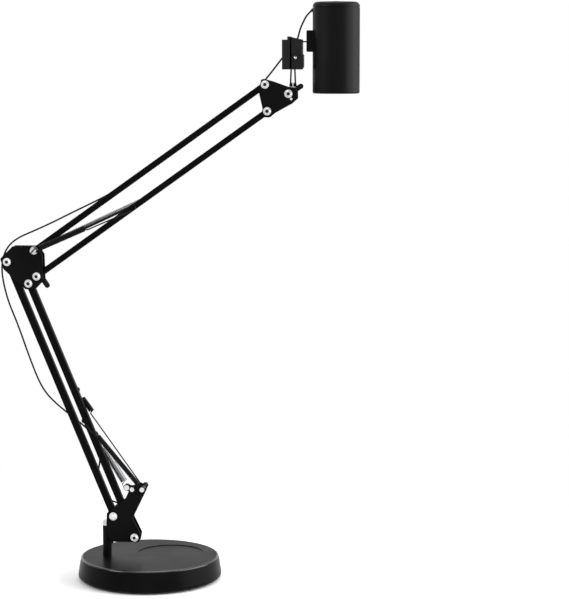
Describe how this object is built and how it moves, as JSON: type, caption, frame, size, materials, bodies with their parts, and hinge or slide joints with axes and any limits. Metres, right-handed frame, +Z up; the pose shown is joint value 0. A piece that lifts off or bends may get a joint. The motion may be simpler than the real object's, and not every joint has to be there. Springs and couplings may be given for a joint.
{
  "type": "art projector",
  "caption": "Small black cylindrical projector pointing down from a clamp on a spring-balanced double-parallelogram arm that swivels on a post in a round weighted base.",
  "frame": {"origin": "centre of the base underside, on the table", "axes": "+X to the right along the arm towards the projector, +Y away from the viewer, +Z up"},
  "size_m": [0.4508, 0.2369, 0.7226],
  "materials": {
    "base_black": "semi-gloss",
    "iron": "rough",
    "plate_grey": "satin",
    "pad_rubber": "matt",
    "frame_black": "satin",
    "bar_black": "satin",
    "nylon": "satin",
    "bright": "polished",
    "light_metal": "satin",
    "spring_black": "satin",
    "spring_steel": "drawn wire",
    "black_plastic": "fine matt",
    "projector_black": "satin",
    "lens_glass": "polished",
    "slide_glass": "clear",
    "board_white": "matt",
    "cord_black": "matt"
  },
  "bodies": {
    "base": {"base_cover": "base_black", "base_weight": "iron", "base_plate": "plate_grey", "base_pad": "pad_rubber", "post": "frame_black", "post_bush": "nylon", "cord_base": "cord_black", "cord_coil": "cord_black", "cord_plug": "black_plastic"},
    "yoke": {"swivel_pin": "bright", "swivel_block": "light_metal", "yoke_plates": "frame_black", "yoke_bolts": "bright", "yoke_washers": "bright", "yoke_spring_pins": "bright", "cord_yoke": "cord_black"},
    "lower_arm": {"lower_bar_left": "bar_black", "cord_elbow_side": "cord_black"},
    "lower_link": {"lower_bar_right": "bar_black"},
    "elbow": {"elbow_plates": "frame_black", "elbow_bolts": "bright", "elbow_washers": "bright", "elbow_spring_pin": "bright", "cord_elbow_top": "cord_black"},
    "elbow_knob": {"elbow_knob": "black_plastic"},
    "upper_arm": {"upper_bar_top": "bar_black", "cord_upper_arm": "cord_black"},
    "upper_link": {"upper_bar_bottom": "bar_black"},
    "head": {"head_plates": "frame_black", "head_bolts": "bright", "head_washers": "bright"},
    "head_knob": {"head_knob": "black_plastic"},
    "clevis": {"tilt_clevis": "frame_black", "swivel_stud": "bright", "cord_neck": "cord_black"},
    "carrier": {"fork": "frame_black", "clamp_body": "black_plastic", "tongue": "bar_black", "mount_block": "black_plastic", "projector_shell": "projector_black", "cord_gland": "black_plastic", "top_cap": "projector_black", "optics_frame": "black_plastic", "image_slide": "slide_glass", "condenser_lens": "lens_glass", "heat_sink": "light_metal", "led_board": "board_white", "cord_head": "cord_black"},
    "clamp_button": {"clamp_button": "black_plastic"},
    "focus_ring": {"focus_ring": "projector_black"},
    "lens_barrel": {"lens_barrel": "black_plastic", "projection_lens": "lens_glass"},
    "power_button": {"power_button": "black_plastic"},
    "lower_spring_foot": {"lower_springs": "spring_black"},
    "lower_spring_head": {"lower_spring_hooks": "spring_black"},
    "balance_spring_foot": {"balance_spring": "spring_steel"},
    "balance_spring_head": {"balance_hook": "spring_steel"},
    "upper_spring_foot": {"upper_springs": "spring_steel"},
    "upper_spring_head": {"upper_spring_hooks": "spring_steel"}
  },
  "joints": [
    {"name": "base_swivel", "type": "hinge", "parent": "base", "child": "yoke", "pos_m": [-0.0545, 0, 0.0667], "axis": [0, 0, 1], "range_deg": [-120, 120], "deforming": ["cord_base"]},
    {"name": "lower_arm_tilt", "type": "hinge", "parent": "yoke", "child": "lower_arm", "pos_m": [-0.0452, 0, 0.0796], "axis": [0, 1, 0], "range_deg": [-8, 24], "deforming": ["cord_yoke"]},
    {"name": "lower_link_tilt", "type": "hinge", "parent": "yoke", "child": "lower_link", "pos_m": [-0.01833, 0, 0.05273], "axis": [0, 1, 0], "range_deg": [-8.3, 24.3]},
    {"name": "elbow_level", "type": "hinge", "parent": "lower_arm", "child": "elbow", "pos_m": [-0.17631, 0, 0.40088], "axis": [0, 1, 0], "range_deg": [-24.3, 8.3], "deforming": ["cord_elbow_side"]},
    {"name": "upper_arm_tilt", "type": "hinge", "parent": "elbow", "child": "upper_arm", "pos_m": [-0.14171, 0, 0.41556], "axis": [0, 1, 0], "range_deg": [-40, 60], "deforming": ["cord_elbow_top"]},
    {"name": "upper_link_tilt", "type": "hinge", "parent": "elbow", "child": "upper_link", "pos_m": [-0.13904, 0, 0.38307], "axis": [0, 1, 0], "range_deg": [-40.5, 60.5]},
    {"name": "head_level", "type": "hinge", "parent": "upper_arm", "child": "head", "pos_m": [0.14769, 0, 0.62168], "axis": [0, 1, 0], "range_deg": [-60.5, 40.5], "deforming": ["cord_upper_arm"]},
    {"name": "head_tilt", "type": "hinge", "parent": "head", "child": "clevis", "pos_m": [0.17649, 0, 0.61048], "axis": [0, 1, 0], "range_deg": [-30, 45], "deforming": ["cord_neck"]},
    {"name": "head_swivel", "type": "hinge", "parent": "clevis", "child": "carrier", "pos_m": [0.18149, 0, 0.61918], "axis": [0, 0, 1], "range_deg": [-100, 100], "deforming": ["cord_head"]},
    {"name": "clamp_button_press", "type": "slide", "parent": "carrier", "child": "clamp_button", "axis": [-1, 0, 0], "range_m": [0, 0.0016], "stiffness_N_per_m": 600, "springref_m": -0.001},
    {"name": "power_button_press", "type": "slide", "parent": "carrier", "child": "power_button", "axis": [0, 0, -1], "range_m": [0, 0.001], "stiffness_N_per_m": 500, "springref_m": -0.001},
    {"name": "focus_turn", "type": "hinge", "parent": "carrier", "child": "focus_ring", "pos_m": [0.23434, 0, 0.61078], "axis": [0, 0, 1], "range_deg": [-45, 45]},
    {"name": "focus_slide", "type": "slide", "parent": "carrier", "child": "lens_barrel", "axis": [0, 0, 1], "range_m": [-0.00302, 0.00302]},
    {"name": "elbow_knob_turn", "type": "hinge", "parent": "elbow", "child": "elbow_knob", "pos_m": [-0.13904, 0.012, 0.38307], "axis": [0, 1, 0], "range_deg": [-90, 90]},
    {"name": "head_knob_turn", "type": "hinge", "parent": "head", "child": "head_knob", "pos_m": [0.17649, 0.011, 0.61048], "axis": [0, 1, 0], "range_deg": [-90, 90]},
    {"name": "lower_spring_lean", "type": "hinge", "parent": "yoke", "child": "lower_spring_foot", "pos_m": [-0.0074, 0, 0.1156], "axis": [0, 1, 0], "range_deg": [-12.26, 35.83]},
    {"name": "lower_spring_stretch", "type": "slide", "parent": "lower_spring_foot", "child": "lower_spring_head", "axis": [-0.6378, 0, 0.7702], "range_m": [-0.01606, 0.00549], "deforming": ["lower_springs", "lower_spring_hooks"]},
    {"name": "balance_spring_lean", "type": "hinge", "parent": "yoke", "child": "balance_spring_foot", "pos_m": [-0.03, 0, 0.1138], "axis": [0, 1, 0], "range_deg": [-14.92, 43.61]},
    {"name": "balance_spring_stretch", "type": "slide", "parent": "balance_spring_foot", "child": "balance_spring_head", "axis": [-0.5187, 0, 0.8549], "range_m": [-0.00221, 0.00076], "deforming": ["balance_spring", "balance_hook"]},
    {"name": "upper_spring_lean", "type": "hinge", "parent": "elbow", "child": "upper_spring_foot", "pos_m": [-0.14171, 0, 0.41556], "axis": [0, 1, 0], "range_deg": [-42.02, 62.52]},
    {"name": "upper_spring_stretch", "type": "slide", "parent": "upper_spring_foot", "child": "upper_spring_head", "axis": [0.9159, 0, 0.4014], "range_m": [-0.02156, 0.03208], "deforming": ["upper_springs", "upper_spring_hooks"]}
  ],
  "couplings": [
    {"joint": "lower_link_tilt", "follows": "lower_arm_tilt", "ratio": 1},
    {"joint": "elbow_level", "follows": "lower_arm_tilt", "ratio": -1},
    {"joint": "upper_link_tilt", "follows": "upper_arm_tilt", "ratio": 1},
    {"joint": "head_level", "follows": "upper_arm_tilt", "ratio": -1},
    {"joint": "focus_slide", "follows": "focus_turn", "m_per_rad": 0.0038},
    {"joint": "lower_spring_lean", "follows": "lower_arm_tilt", "ratio": 1.4734},
    {"joint": "lower_spring_stretch", "follows": "lower_arm_tilt", "m_per_rad": -0.037837},
    {"joint": "balance_spring_lean", "follows": "lower_arm_tilt", "ratio": 1.793},
    {"joint": "balance_spring_stretch", "follows": "lower_arm_tilt", "m_per_rad": -0.005211},
    {"joint": "upper_spring_lean", "follows": "upper_arm_tilt", "ratio": 1.0249},
    {"joint": "upper_spring_stretch", "follows": "upper_arm_tilt", "m_per_rad": 0.030128}
  ]
}
